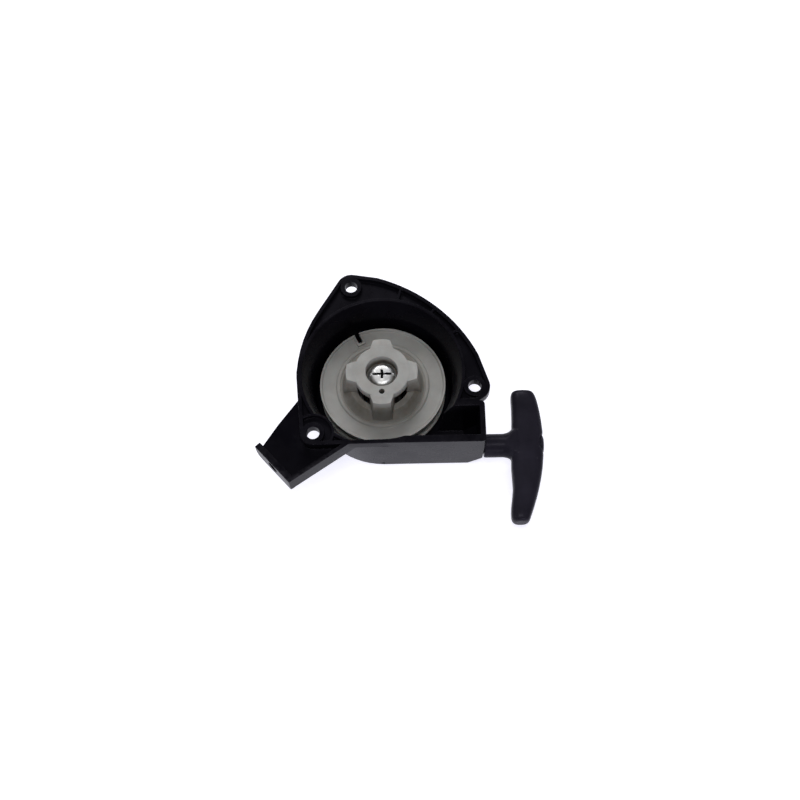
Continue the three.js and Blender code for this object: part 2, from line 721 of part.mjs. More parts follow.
// A closed skin over rings of points, each ring with the same number of points.
function lofted(rings) {
  const count = rings[0].length;
  const middle = (ring) => ring.reduce((m, p) => m.add(p), new THREE.Vector3()).divideScalar(count);
  const points = [...rings.flat(), middle(rings[0]), middle(rings.at(-1))];
  const [first, last] = [points.length - 2, points.length - 1];
  const end = (rings.length - 1) * count;
  const index = [];
  for (let i = 0; i < count; i++) {
    const next = (i + 1) % count;
    index.push(first, next, i, last, end + i, end + next);
    for (let ring = 0; ring < end; ring += count) {
      index.push(ring + i, ring + next, ring + count + i);
      index.push(ring + next, ring + count + next, ring + count + i);
    }
  }
  return solid(new THREE.BufferGeometry().setFromPoints(points).setIndex(index));
}

function gripBar() {
  const [edges, thicknesses] = [
    GRIP_STATIONS.map(([along, inner, outer]) => new THREE.Vector3(along, inner, outer)),
    GRIP_STATIONS.map(([along, , , thick]) => new THREE.Vector3(along, thick, 0)),
  ].map((points) => new THREE.CatmullRomCurve3(points));
  const rings = [];
  for (let i = 0; i <= GRIP_STEPS; i++) {
    const [edge, thickness] = [edges.getPoint(i / GRIP_STEPS), thicknesses.getPoint(i / GRIP_STEPS)];
    const [along, inner, outer] = edge.toArray();
    const ring = [];
    for (let j = 0; j < GRIP_SIDES; j++) {
      const a = (TAU * j) / GRIP_SIDES;
      const bulge = (v) => Math.sign(v) * Math.abs(v) ** (2 / GRIP_SQUARENESS);
      const x = END_X + (inner + outer) / 2 + (bulge(Math.cos(a)) * (outer - inner)) / 2;
      const z = ROPE_Z + (bulge(Math.sin(a)) * thickness.y) / 2;
      ring.push(new THREE.Vector3(x, ROPE_Y + along, z));
    }
    rings.push(ring);
  }
  return lofted(rings);
}

function grip() {
  const stem = turnedX([
    [stemX, 0],
    [stemX, STEM_R - 0.5],
    [stemX + 0.5, STEM_R],
    [BAR_INNER_X - 4, STEM_R],
    [BAR_INNER_X - 1.6, STEM_R + 0.6],
    [BAR_INNER_X + 0.4, STEM_R + 2.2],
    [BAR_INNER_X + 2.4, STEM_R + 2.2],
    [BAR_INNER_X + 2.4, 0],
  ]);
  const flat = block(stemX - 1, BAR_INNER_X + 4, ROPE_Y - 20, ROPE_Y + 20,
    ROPE_Z - GRIP_THICK / 2, ROPE_Z + GRIP_THICK / 2);
  const seat = barX(GUIDE_FLANGE_R + GAP, stemX - 1, stemX + GUIDE_FLANGE + STEM_SEAT);
  const bore = barX(STEM_BORE_R, stemX, KNOT_SEAT_X - 4);
  const ropeBore = barX(ROPE_R + GAP, stemX, KNOT_SEAT_X + 1);
  const pocket = barX(KNOT_POCKET_R, KNOT_SEAT_X, 90);
  const capSeat = barX(CAP_R + GAP, capX - GAP, 90);
  return cut(joined(gripBar(), stem.intersect(flat)), seat, bore, ropeBore, pocket, capSeat);
}

const capX = END_X + 27.1;

function gripCap() {
  return turnedX([
    [capX - CAP_PLUG, 0],
    [capX - CAP_PLUG, KNOT_POCKET_R - GAP - 0.3],
    [capX - CAP_PLUG + 0.3, KNOT_POCKET_R - GAP],
    [capX, KNOT_POCKET_R - GAP],
    [capX, CAP_R],
    [capX + CAP_THICK * 0.6, CAP_R],
    [capX + CAP_THICK, CAP_R - 1.2],
    [capX + CAP_THICK, 0],
  ]);
}

const knotWasherX = KNOT_SEAT_X + GAP;

function knotWasher() {
  return cut(
    barX(KNOT_POCKET_R - GAP, knotWasherX, knotWasherX + 1),
    barX(ROPE_R + GAP, knotWasherX - 1, knotWasherX + 2),
  );
}

const knotX = knotWasherX + 1 + GAP + KNOT_R;

// The rope from the reel's edge, out through the guide and up to the knot in the grip.
function ropeLead() {
  const startX = 17;
  const run = new THREE.CatmullRomCurve3([
    new THREE.Vector3(startX, ROPE_Y + 0.9, ROPE_Z),
    new THREE.Vector3(28, ROPE_Y + 0.45, ROPE_Z),
    new THREE.Vector3(38, ROPE_Y, ROPE_Z),
    new THREE.Vector3(50, ROPE_Y, ROPE_Z),
    new THREE.Vector3(knotX - KNOT_R - GAP, ROPE_Y, ROPE_Z),
  ]);
  const section = new THREE.Shape().absarc(0, 0, ROPE_R, 0, TAU, false);
  const geometry = new THREE.ExtrudeGeometry(section, {
    steps: 14,
    curveSegments: 5,
    bevelEnabled: false,
    extrudePath: run,
  });
  return solid(geometry);
}

// ---------------------------------------------------------------- assembly
function finish(color, roughness, metalness = 0) {
  return new THREE.MeshStandardMaterial({ color, roughness, metalness });
}

const BLACK_PLASTIC = finish(0x17161b, 0.45);
const GRIP_PLASTIC = finish(0x1c1a22, 0.35);
const REEL_NYLON = finish(0xa9a8a4, 0.5);
const ZINC = finish(0xd5d6d8, 0.25, 1);
const SPRING_STEEL = finish(0x55565c, 0.35, 1);
const CUP_STEEL = finish(0x9a9ca0, 0.4, 1);
const ROPE_FIBRE = finish(0xd9d4c6, 0.9);

const recoilStarter = new THREE.Group();

function place(name, piece, material) {
  const { vertProperties, triVerts } = piece.getMesh();
  const geometry = new THREE.BufferGeometry();
  geometry.setAttribute("position", new THREE.BufferAttribute(vertProperties, 3));
  geometry.setIndex(new THREE.BufferAttribute(triVerts, 1));
  geometry.computeVertexNormals();
  const mesh = new THREE.Mesh(geometry, material);
  mesh.name = name;
  recoilStarter.add(mesh);
}

place("starter_case", starterCase(), BLACK_PLASTIC);
place("rope_guide", ropeGuide(), ZINC);
place("spring_cup", springCup(), CUP_STEEL);
place("recoil_spring", recoilSpring(), SPRING_STEEL);
place("centre_washer", centreWasher(), ZINC);
place("centre_screw", centreScrew(), ZINC);
place("reel", reel(), REEL_NYLON);
place("rope_winding", ropeWinding(), ROPE_FIBRE);
place("reel_knot", reelKnot(), ROPE_FIBRE);
place("rope_lead", ropeLead(), ROPE_FIBRE);
place("grip_knot", knot(KNOT_R, [knotX, ROPE_Y, ROPE_Z]), ROPE_FIBRE);
place("knot_washer", knotWasher(), ZINC);
place("grip", grip(), GRIP_PLASTIC);
place("grip_cap", gripCap(), GRIP_PLASTIC);

export default recoilStarter;
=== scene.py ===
# %% [markdown]
# # A small engine's recoil starter
# The model comes in as a fixed frame of plain solids, one per piece and all in metres. This notebook
# gives each piece its finished surface: softened moulded edges, real cord, plastic grain and worn
# zinc. The first cell loads that frame.

# %% Load the frame
import math

import bmesh
import bpy
from mathutils import Matrix, Vector
from mathutils.bvhtree import BVHTree


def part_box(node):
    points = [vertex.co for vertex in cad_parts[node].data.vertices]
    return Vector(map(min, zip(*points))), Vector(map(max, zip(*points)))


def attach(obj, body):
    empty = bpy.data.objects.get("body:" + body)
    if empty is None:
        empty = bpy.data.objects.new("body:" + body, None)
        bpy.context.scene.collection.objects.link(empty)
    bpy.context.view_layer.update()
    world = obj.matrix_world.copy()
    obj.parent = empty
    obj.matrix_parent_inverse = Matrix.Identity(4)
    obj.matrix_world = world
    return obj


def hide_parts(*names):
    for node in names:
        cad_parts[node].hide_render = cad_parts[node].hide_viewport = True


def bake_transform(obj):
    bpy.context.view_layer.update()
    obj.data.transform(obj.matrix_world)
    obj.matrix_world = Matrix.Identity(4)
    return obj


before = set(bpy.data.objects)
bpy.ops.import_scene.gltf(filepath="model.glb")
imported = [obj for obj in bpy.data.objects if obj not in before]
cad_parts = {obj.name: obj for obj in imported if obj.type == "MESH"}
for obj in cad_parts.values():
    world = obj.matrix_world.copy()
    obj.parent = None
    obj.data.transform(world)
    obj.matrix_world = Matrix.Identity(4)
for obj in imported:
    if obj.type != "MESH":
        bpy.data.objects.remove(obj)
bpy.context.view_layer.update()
MM = 0.001
print("nodes:", sorted(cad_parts))

# %% [markdown]
# ## The camera
# A product camera looks steeply down at the open side of the case. A camera can be aimed with a
# Track To constraint, but then its small roll about the line of sight is awkward to set. Building
# its three axes from an azimuth, an elevation and a roll keeps all of it in plain numbers.

# %% Camera
VIEW_AZIMUTH = math.radians(1.518)
VIEW_ELEVATION = math.radians(65.52)
VIEW_ROLL = math.radians(-2.44)
CAMERA_PLACE = Vector((13.65, -215.5, 472.3)) * MM

back = Vector(
    (
        math.sin(VIEW_AZIMUTH) * math.cos(VIEW_ELEVATION),
        -math.cos(VIEW_AZIMUTH) * math.cos(VIEW_ELEVATION),
        math.sin(VIEW_ELEVATION),
    )
)
right = Vector((0, 0, 1)).cross(back).normalized()
up = back.cross(right)
level = Matrix((right, up, back)).transposed()
aim = level @ Matrix.Rotation(VIEW_ROLL, 3, "Z")
camera_data = bpy.data.cameras.new("camera")
camera_data.lens = 47.4
camera_data.sensor_width = 36
camera_data.clip_start = 0.01
camera = bpy.data.objects.new("camera", camera_data)
camera.matrix_world = Matrix.Translation(CAMERA_PLACE) @ aim.to_4x4()
bpy.context.scene.collection.objects.link(camera)
bpy.context.scene.camera = camera
print("camera distance to the origin: %.3f m" % CAMERA_PLACE.length)

# %% [markdown]
# ## The stage and the light
# The starter lies on a plain white table. The key is a large softbox behind the part, low enough that
# flat black tops don't mirror it, so the case's far wall shades the reel and the hub throws a soft
# shade towards us. The sky is almost black, for the same reason. The table's white does the rest: it
# shows as the pale sheen on the straight wall that faces the camera. A white table could be lit until
# it is white, but then the part's shadow lies across it. Here the table is a light itself, as in a
# product tent, and the shadow is all but gone.

# %% Stage and light
def principled(name, color, roughness, **values):
    """A new material, with its node tree, its shader and a short way to add nodes."""
    material = bpy.data.materials.new(name)
    material.use_nodes = True
    tree = material.node_tree
    shader = tree.nodes["Principled BSDF"]
    shader.inputs["Base Color"].default_value = (*color, 1)
    shader.inputs["Roughness"].default_value = roughness
    for socket, value in values.items():
        shader.inputs[socket.replace("_", " ")].default_value = value
    return material, tree, shader


def table_finish():
    material, tree, shader = principled("table_white", (0.5, 0.5, 0.5), 0.7)
    shader.inputs["Emission Color"].default_value = (0.9, 0.895, 1, 1)
    shader.inputs["Emission Strength"].default_value = 0.87
    return material


TABLE_SIZE = 6.0
TABLE_DROP = 0.15 * MM
table_mesh = bpy.data.meshes.new("table")
half = TABLE_SIZE / 2
corners = [(-half, -half), (half, -half), (half, half), (-half, half)]
table_mesh.from_pydata([(x, y, -TABLE_DROP) for x, y in corners], [], [(0, 1, 2, 3)])
table = bpy.data.objects.new("table", table_mesh)
bpy.context.scene.collection.objects.link(table)
table.data.materials.append(table_finish())


def softbox(name, place, size, power, color=(1, 1, 1)):
    light = bpy.data.lights.new(name, "AREA")
    light.shape = "RECTANGLE"
    light.size, light.size_y = size
    light.energy = power
    light.color = color
    lamp = bpy.data.objects.new(name, light)
    lamp.location = place
    lamp.rotation_euler = Vector(place).to_track_quat("Z", "Y").to_euler()
    bpy.context.scene.collection.objects.link(lamp)
    return lamp


softbox("key", (-0.12, 0.82, 0.68), (0.8, 0.35), 6.5)
softbox("top", (0.05, -0.2, 1.05), (0.35, 0.3), 3.6)
softbox("side", (-0.85, -0.25, 0.4), (0.4, 0.4), 1.5, (0.93, 0.95, 1))
softbox("front", (0.35, -0.85, 0.3), (0.6, 0.25), 3.0, (0.96, 0.95, 1))

world = bpy.data.worlds.new("studio")
world.use_nodes = True
world.node_tree.nodes["Background"].inputs["Color"].default_value = (0.94, 0.95, 1, 1)
world.node_tree.nodes["Background"].inputs["Strength"].default_value = 0.05
bpy.context.scene.world = world
bpy.context.scene.view_settings.view_transform = "Standard"

# %% [markdown]
# ## Effects that several finishes share
# Grain, slow drift, worn edges, dust and brushing turn up in more than one material. Each could be
# copied into every material, but a node group keeps one copy, with named sliders. A group here gives
# out only a mask, a value or a height, and each material decides what to do with it.

# %% Node groups
def group(name, inputs, outputs):
    """An empty shader group, and its input and output nodes."""
    tree = bpy.data.node_groups.new(name, "ShaderNodeTree")
    for socket, default in inputs.items():
        made = tree.interface.new_socket(name=socket, in_out="INPUT", socket_type="NodeSocketFloat")
        made.default_value = default
    for socket in outputs:
        tree.interface.new_socket(name=socket, in_out="OUTPUT", socket_type="NodeSocketFloat")
    return tree, tree.nodes.new("NodeGroupInput"), tree.nodes.new("NodeGroupOutput")


def feed(tree, socket, source):
    """Gives a socket a number, or joins another socket to it."""
    if isinstance(source, (int, float)):
        socket.default_value = source
    else:
        tree.links.new(source, socket)


def maths(tree, operation, a, b=0.0, c=0.0, clamp=False):
    node = tree.nodes.new("ShaderNodeMath")
    node.operation = operation
    node.use_clamp = clamp
    for socket, source in zip(node.inputs, (a, b, c)):
        feed(tree, socket, source)
    return node.outputs[0]


def noise(tree, scale, detail=3.0, roughness=0.55, stretch=None):
    """Noise in the piece's own coordinates, scale in features a metre."""
    place = tree.nodes.new("ShaderNodeTexCoord").outputs["Object"]
    if stretch:
        mapping = tree.nodes.new("ShaderNodeMapping")
        mapping.inputs["Scale"].default_value = stretch
        tree.links.new(place, mapping.inputs["Vector"])
        place = mapping.outputs["Vector"]
    node = tree.nodes.new("ShaderNodeTexNoise")
    tree.links.new(place, node.inputs["Vector"])
    feed(tree, node.inputs["Scale"], scale)
    node.inputs["Detail"].default_value = detail
    node.inputs["Roughness"].default_value = roughness
    return node.outputs["Fac"]


def span(tree, source, low, high, to_low=0.0, to_high=1.0):
    """Stretches low..high onto to_low..to_high, and stops at both ends."""
    node = tree.nodes.new("ShaderNodeMapRange")
    for socket, value in zip(node.inputs, (source, low, high, to_low, to_high)):
        feed(tree, socket, value)
    return node.outputs[0]


def from_axis(tree):
    """How far a point of the piece is from the reel's axis, and its height."""
    split = tree.nodes.new("ShaderNodeSeparateXYZ")
    tree.links.new(tree.nodes.new("ShaderNodeTexCoord").outputs["Object"], split.inputs[0])
    x, y, z = split.outputs
    squared = maths(tree, "MULTIPLY_ADD", x, x, maths(tree, "MULTIPLY", y, y))
    return maths(tree, "SQRT", squared), z


def grain_group():
    tree, inside, outside = group("moulded_grain", {"Scale": 2200.0}, ["Height"])
    fine = noise(tree, inside.outputs["Scale"], 2.0)
    broad = noise(tree, maths(tree, "MULTIPLY", inside.outputs["Scale"], 0.12), 2.0)
    height = maths(tree, "MULTIPLY_ADD", broad, 0.6, fine)
    tree.links.new(height, outside.inputs["Height"])
    return tree


def drift_group():
    tree, inside, outside = group("slow_drift", {"Scale": 70.0}, ["Value"])
    value = span(tree, noise(tree, inside.outputs["Scale"], 4.0), 0.3, 0.7)
    tree.links.new(value, outside.inputs["Value"])
    return tree


def wear_group():
    tree, inside, outside = group("edge_wear", {"Start": 0.53, "Full": 0.62}, ["Mask"])
    edges = tree.nodes.new("ShaderNodeNewGeometry").outputs["Pointiness"]
    sharp = span(tree, edges, inside.outputs["Start"], inside.outputs["Full"])
    broken = span(tree, noise(tree, 420.0, 4.0), 0.35, 0.6)
    tree.links.new(maths(tree, "MULTIPLY", sharp, broken), outside.inputs["Mask"])
    return tree


def dust_group():
    tree, inside, outside = group("settled_dust", {"Amount": 0.5}, ["Mask"])
    split = tree.nodes.new("ShaderNodeSeparateXYZ")
    tree.links.new(tree.nodes.new("ShaderNodeNewGeometry").outputs["Normal"], split.inputs[0])
    facing = span(tree, split.outputs["Z"], 0.3, 1.0)
    hollow = span(tree, tree.nodes.new("ShaderNodeNewGeometry").outputs["Pointiness"], 0.5, 0.42)
    patches = span(tree, noise(tree, 130.0, 5.0, 0.65), 0.42, 0.75)
    most = maths(tree, "MAXIMUM", patches, hollow)
    settled = maths(tree, "MULTIPLY", maths(tree, "MULTIPLY", most, facing), inside.outputs["Amount"])
    tree.links.new(settled, outside.inputs["Mask"])
    return tree


def brushed_group():
    tree, inside, outside = group("fine_lines", {"Scale": 900.0}, ["Height"])
    lines = noise(tree, inside.outputs["Scale"], 3.0, 0.7, stretch=(0.06, 1.0, 1.0))
    tree.links.new(lines, outside.inputs["Height"])
    return tree


def braid_group():
    """Strands crossing over and under. Along is in metres, Around in turns round the cord."""
    tree, inside, outside = group("braid", {"Along": 0.0, "Around": 0.0}, ["Height", "Fleck"])
    lay = maths(tree, "DIVIDE", inside.outputs["Along"], BRAID_PITCH)
    round_cord = maths(tree, "MULTIPLY", inside.outputs["Around"], BRAID_STRANDS)

    def ridge(turns):
        return maths(tree, "SINE", maths(tree, "MULTIPLY", turns, 2 * math.pi))

    one_way = ridge(maths(tree, "ADD", round_cord, lay))
    other_way = ridge(maths(tree, "SUBTRACT", round_cord, lay))
    fibre = noise(tree, 5000.0, 2.0)
    strands = maths(tree, "MAXIMUM", one_way, other_way)
    tree.links.new(maths(tree, "MULTIPLY_ADD", fibre, 0.35, strands), outside.inputs["Height"])
    tracer = ridge(maths(tree, "MULTIPLY_ADD", lay, 1.0, inside.outputs["Around"]))
    tree.links.new(span(tree, tracer, 0.72, 0.86), outside.inputs["Fleck"])
    return tree


BRAID_PITCH = 4.4 * MM
BRAID_STRANDS = 4.0
BRAID = braid_group()
GRAIN = grain_group()
DRIFT = drift_group()
WEAR = wear_group()
DUST = dust_group()
LINES = brushed_group()
print("node groups:", [g.name for g in bpy.data.node_groups])


def use(tree, shared, output, **values):
    """Places a shared effect in a material, with its own values, and returns one of its outputs."""
    node = tree.nodes.new("ShaderNodeGroup")
    node.node_tree = shared
    for socket, value in values.items():
        node.inputs[socket].default_value = value
    return node.outputs[output]


def blended(tree, factor, a, b):
    """Colour a, going to colour b as the factor rises."""
    node = tree.nodes.new("ShaderNodeMix")
    node.data_type = "RGBA"
    feed(tree, node.inputs["Factor"], factor)
    for socket, colour in zip((node.inputs[6], node.inputs[7]), (a, b)):
        if isinstance(colour, tuple):
            socket.default_value = (*colour, 1)
        else:
            tree.links.new(colour, socket)
    return node.outputs[2]


def bumped(tree, shader, height, distance, strength=1.0):
    node = tree.nodes.new("ShaderNodeBump")
    node.inputs["Strength"].default_value = strength
    node.inputs["Distance"].default_value = distance
    tree.links.new(height, node.inputs["Height"])
    tree.links.new(node.outputs["Normal"], shader.inputs["Normal"])


# %% [markdown]
# ## Black plastics
# The case is black nylon with a fine moulded grain, and the grip is a smoother, glossier black. Both
# lean slightly to violet. Black would look like a hole if its only change were in colour, so most of
# the work is in roughness and bump: grain that breaks up the sheen, slow patches from handling, pale
# scuffs on the edges and a little dust that has settled where the part faces up.

# %% Black plastics
def black_plastic(name, color, roughness, shine, grain, grain_depth, wear, dust):
    material, tree, shader = principled(
        name, color, roughness, Specular_IOR_Level=shine, Specular_Tint=(0.86, 0.82, 1.0, 1.0))
    drift = use(tree, DRIFT, "Value", Scale=60.0)
    tone = blended(tree, drift, tuple(c * 0.8 for c in color), tuple(c * 1.25 for c in color))
    scuffed = maths(tree, "MULTIPLY", use(tree, WEAR, "Mask"), wear)
    tone = blended(tree, scuffed, tone, (0.11, 0.105, 0.12))
    dusty = use(tree, DUST, "Mask", Amount=dust)
    tone = blended(tree, dusty, tone, (0.16, 0.155, 0.16))
    tree.links.new(tone, shader.inputs["Base Color"])
    rough = span(tree, drift, 0.0, 1.0, roughness - 0.07, roughness + 0.07)
    rough = maths(tree, "MULTIPLY_ADD", scuffed, 0.25, rough)
    rough = maths(tree, "MULTIPLY_ADD", dusty, 0.6, rough, clamp=True)
    tree.links.new(rough, shader.inputs["Roughness"])
    bumped(tree, shader, use(tree, GRAIN, "Height", Scale=grain), grain_depth)
    return material


CASE_BLACK = black_plastic(
    "case_black", (0.0031, 0.0028, 0.0046), roughness=0.27, shine=0.072,
    grain=2400.0, grain_depth=0.016 * MM, wear=0.15, dust=0.012)
GRIP_BLACK = black_plastic(
    "grip_black", (0.0165, 0.0152, 0.0225), roughness=0.3, shine=0.045,
    grain=1500.0, grain_depth=0.012 * MM, wear=0.15, dust=0.015)
print("made:", CASE_BLACK.name, GRIP_BLACK.name)

# %% [markdown]
# ## Reel nylon
# Natural nylon is a milky grey-white. It is slightly see-through at thin edges, which a little
# subsurface light gives. The moulding shows faint flow rings round the axis. Rope dust browns the
# hollows. A brown painted shade darkens it low down, close round the foot of the hub. A hand-painted
# mask would do that too, but a distance from the axis and a height are enough to say where the
# painted shade lies.

# %% Reel nylon
HUB_SHADE_FULL_R = 17.5 * MM
HUB_SHADE_END_R = 24.0 * MM


def hub_foot_painted_shade(tree):
    """Painted shade: brown shade painted low down, close round the foot of the hub."""
    distance, z = from_axis(tree)
    near = span(tree, distance, HUB_SHADE_END_R, HUB_SHADE_FULL_R)
    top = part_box("reel")[1][2]
    low = span(tree, z, top - 1.0 * MM, top - 4.0 * MM)
    patches = span(tree, noise(tree, 170.0, 5.0, 0.65), 0.3, 0.62, 0.45, 1.0)
    return maths(tree, "MULTIPLY", maths(tree, "MULTIPLY", near, low), patches)


def reel_nylon():
    color = (0.335, 0.333, 0.32)
    material, tree, shader = principled(
        "reel_nylon", color, 0.42, Subsurface_Weight=0.12, Subsurface_Scale=0.8 * MM)
    drift = use(tree, DRIFT, "Value", Scale=90.0)
    tone = blended(tree, drift, tuple(c * 0.9 for c in color), (0.375, 0.373, 0.362))
    hollow = use(tree, DUST, "Mask", Amount=0.8)
    tone = blended(tree, maths(tree, "MULTIPLY", hollow, 0.35), tone, (0.2, 0.17, 0.14))
    # Painted shade: brown darkening round the foot of the hub.
    tone = blended(tree, maths(tree, "MULTIPLY", hub_foot_painted_shade(tree), 0.78), tone, (0.15, 0.128, 0.1))
    edge = maths(tree, "MULTIPLY", use(tree, WEAR, "Mask", Start=0.52, Full=0.6), 0.5)
    tone = blended(tree, edge, tone, (0.55, 0.55, 0.54))
    tree.links.new(tone, shader.inputs["Base Color"])
    rough = span(tree, drift, 0.0, 1.0, 0.36, 0.5)
    tree.links.new(rough, shader.inputs["Roughness"])
    place = tree.nodes.new("ShaderNodeTexCoord").outputs["Object"]
    rings = tree.nodes.new("ShaderNodeTexWave")
    rings.wave_type = "RINGS"
    rings.rings_direction = "Z"
    rings.inputs["Scale"].default_value = 260.0
    rings.inputs["Distortion"].default_value = 1.2
    tree.links.new(place, rings.inputs["Vector"])
    height = maths(tree, "MULTIPLY_ADD", rings.outputs["Fac"], 0.35, use(tree, GRAIN, "Height", Scale=1800.0))
    bumped(tree, shader, height, 0.02 * MM)
    return material


REEL_NYLON = reel_nylon()
print("made:", REEL_NYLON.name)

# %% [markdown]
# ## Metals
# The screw, the rope guide and the knot washer are bright zinc plate, the spring cup is duller
# pressed sheet, and the spring is blued strip. They are one recipe: a metal whose fine lines stretch
# its highlights, a drift in its tint and roughness, and paler edges where it is scuffed. The centre
# washer is dark zinc as painted shade for the counterbore round the screw head, and the slot and
# cross of the centre screw are painted black as painted shade.

# %% Metals
def metal(name, color, second, roughness, lines, depth, painted_shade_mask=None):
    material, tree, shader = principled(name, color, roughness, Metallic=1.0)
    drift = use(tree, DRIFT, "Value", Scale=220.0)
    tone = blended(tree, drift, color, second)
    worn = use(tree, WEAR, "Mask")
    tone = blended(tree, maths(tree, "MULTIPLY", worn, 0.5), tone, (0.8, 0.8, 0.8))
    # Painted shade: where a mask is given, the colour there goes near black.
    if painted_shade_mask:
        tone = blended(tree, painted_shade_mask(tree), tone, (0.012, 0.012, 0.012))
    tree.links.new(tone, shader.inputs["Base Color"])
    rough = span(tree, drift, 0.0, 1.0, roughness * 0.8, roughness * 1.3)
    tree.links.new(rough, shader.inputs["Roughness"])
    bumped(tree, shader, use(tree, LINES, "Height", Scale=lines), depth)
    return material


def screw_slot_painted_shade(tree):
    """Painted shade in the slot and cross of the centre screw, below its dome and away from its rim."""
    low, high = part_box("centre_screw")
    distance, z = from_axis(tree)
    inside = span(tree, distance, 0.42 * (high[0] - low[0]), 0.36 * (high[0] - low[0]))
    deep = span(tree, z, high[2] - 0.35 * MM, high[2] - 0.65 * MM)
    return maths(tree, "MULTIPLY", inside, deep)


SCREW_ZINC = metal(
    "screw_zinc", (0.62, 0.63, 0.65), (0.72, 0.71, 0.69), 0.4, 700.0, 0.003 * MM, screw_slot_painted_shade)
ZINC = metal("bright_zinc", (0.72, 0.74, 0.78), (0.8, 0.79, 0.76), 0.26, 1500.0, 0.008 * MM)
# Painted shade: the centre washer is dark zinc for the shaded counterbore round the screw head.
WASHER_PAINTED_SHADE = metal("washer_painted_shade", (0.1, 0.1, 0.105), (0.16, 0.155, 0.15), 0.45, 900.0, 0.008 * MM)
CUP_STEEL = metal("cup_steel", (0.42, 0.43, 0.45), (0.5, 0.49, 0.47), 0.42, 700.0, 0.012 * MM)
SPRING_BLUE = metal("spring_blue", (0.1, 0.12, 0.2), (0.2, 0.17, 0.16), 0.3, 900.0, 0.01 * MM)
print("made:", ZINC.name, CUP_STEEL.name, SPRING_BLUE.name)

# %% [markdown]
# ## Cord
# The pull cord is braided nylon: two sets of strands that cross, with one dark tracer among them. A
# woven look could come from a picture wrapped round the cord, but this one is worked out from two
# numbers, how far along the cord and how far round it. A coiled cord carries them in its UV map. The
# straight cord to the grip takes them from its place in space, so that the braid keeps its scale when
# the cord is pulled out.

# %% Cord finishes
ROPE_R = 1.4 * MM
ROPE_Y = -30.3 * MM
ROPE_Z = 11.5 * MM


def cord_finish(name, straight):
    color = (0.3, 0.28, 0.25)
    material, tree, shader = principled(name, color, 0.75, Sheen_Weight=0.25, Sheen_Roughness=0.5)
    split = tree.nodes.new("ShaderNodeSeparateXYZ")
    place = tree.nodes.new("ShaderNodeTexCoord").outputs["Object" if straight else "UV"]
    tree.links.new(place, split.inputs[0])
    along, around = split.outputs["X"], split.outputs["Y"]
    if straight:
        across = maths(tree, "SUBTRACT", split.outputs["Y"], ROPE_Y)
        above = maths(tree, "SUBTRACT", split.outputs["Z"], ROPE_Z)
        around = maths(tree, "DIVIDE", maths(tree, "ARCTAN2", above, across), 2 * math.pi)
    braid = tree.nodes.new("ShaderNodeGroup")
    braid.node_tree = BRAID
    tree.links.new(along, braid.inputs["Along"])
    tree.links.new(around, braid.inputs["Around"])
    drift = use(tree, DRIFT, "Value", Scale=150.0)
    tone = blended(tree, drift, tuple(c * 0.8 for c in color), tuple(c * 1.15 for c in color))
    # Painted shade: the gaps between the strands are darkened.
    hollow = span(tree, braid.outputs["Height"], 0.9, -0.2)
    tone = blended(tree, hollow, tone, (0.09, 0.08, 0.07))
    tone = blended(tree, braid.outputs["Fleck"], tone, (0.03, 0.03, 0.035))
    tree.links.new(tone, shader.inputs["Base Color"])
    tree.links.new(span(tree, braid.outputs["Height"], -0.5, 1.0, 0.9, 0.65), shader.inputs["Roughness"])
    bumped(tree, shader, braid.outputs["Height"], 0.16 * MM)
    return material


COIL_CORD = cord_finish("coil_cord", False)
PULLED_CORD = cord_finish("pulled_cord", True)
print("made:", COIL_CORD.name, PULLED_CORD.name)

# %% [markdown]
# ## Softened mouldings
# The frame's solids have knife edges, and no moulding does. The shapes could all be rebuilt, but they
# are right already, so we copy each one, dissolve the small triangles into clean faces, and give its
# corners a small round with a Bevel. Where very short edges meet, a Bevel can throw a point far out as
# a spike. Clamping its overlap would stop that, but would shrink every round on the piece, so the few
# thrown points are laid back onto the plain shape instead. Weighted normals then keep the flat faces
# flat and let the light roll over the rounds.

# %% Softening
def settle_modifiers(piece):
    """Turns a piece's modifiers into its mesh."""
    bpy.context.view_layer.update()
    shown = piece.evaluated_get(bpy.context.evaluated_depsgraph_get())
    piece.data = bpy.data.meshes.new_from_object(shown)
    piece.modifiers.clear()
    return piece


def add_piece(name, mesh, body, material, slot, *nodes):
    """Puts a finished mesh in the scene, riding on a body and standing for CAD nodes."""
    piece = bpy.data.objects.new(name, mesh)
    bpy.context.scene.collection.objects.link(piece)
    mesh.materials.clear()
    mesh.materials.append(material)
    if body:
        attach(piece, body)
    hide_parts(*nodes)
    return piece


def pulled_back(piece, plain, reach, lowest, highest):
    """Lays points that a Bevel threw off back onto the plain shape, and keeps all of them in its box."""
    thrown = 0
    for point in piece.data.vertices:
        nearest, _, _, away = plain.find_nearest(point.co)
        if away > reach:
            point.co = nearest
            thrown += 1
        point.co = [min(max(v, low), high) for v, low, high in zip(point.co, lowest, highest)]
    if thrown:
        print("%s: %d points laid back" % (piece.name, thrown))


def rounded(piece, width, segments=2, corner=30):
    mesh = piece.data
    corners = [v.co.copy() for v in mesh.vertices]
    plain = BVHTree.FromPolygons(corners, [f.vertices for f in mesh.polygons])
    lowest = [min(corner[axis] for corner in corners) for axis in range(3)]
    highest = [max(corner[axis] for corner in corners) for axis in range(3)]
    mesh.shade_smooth()
    bevel = piece.modifiers.new("round", "BEVEL")
    bevel.width = width
    bevel.segments = segments
    bevel.limit_method = "ANGLE"
    bevel.angle_limit = math.radians(corner)
    bevel.use_clamp_overlap = False
    bevel.miter_outer = "MITER_ARC"
    settle_modifiers(piece)
    pulled_back(piece, plain, width, lowest, highest)
    piece.data.set_sharp_from_angle(angle=math.radians(60))
    weighted = piece.modifiers.new("flats", "WEIGHTED_NORMAL")
    weighted.keep_sharp = True
    settle_modifiers(piece)
    return piece


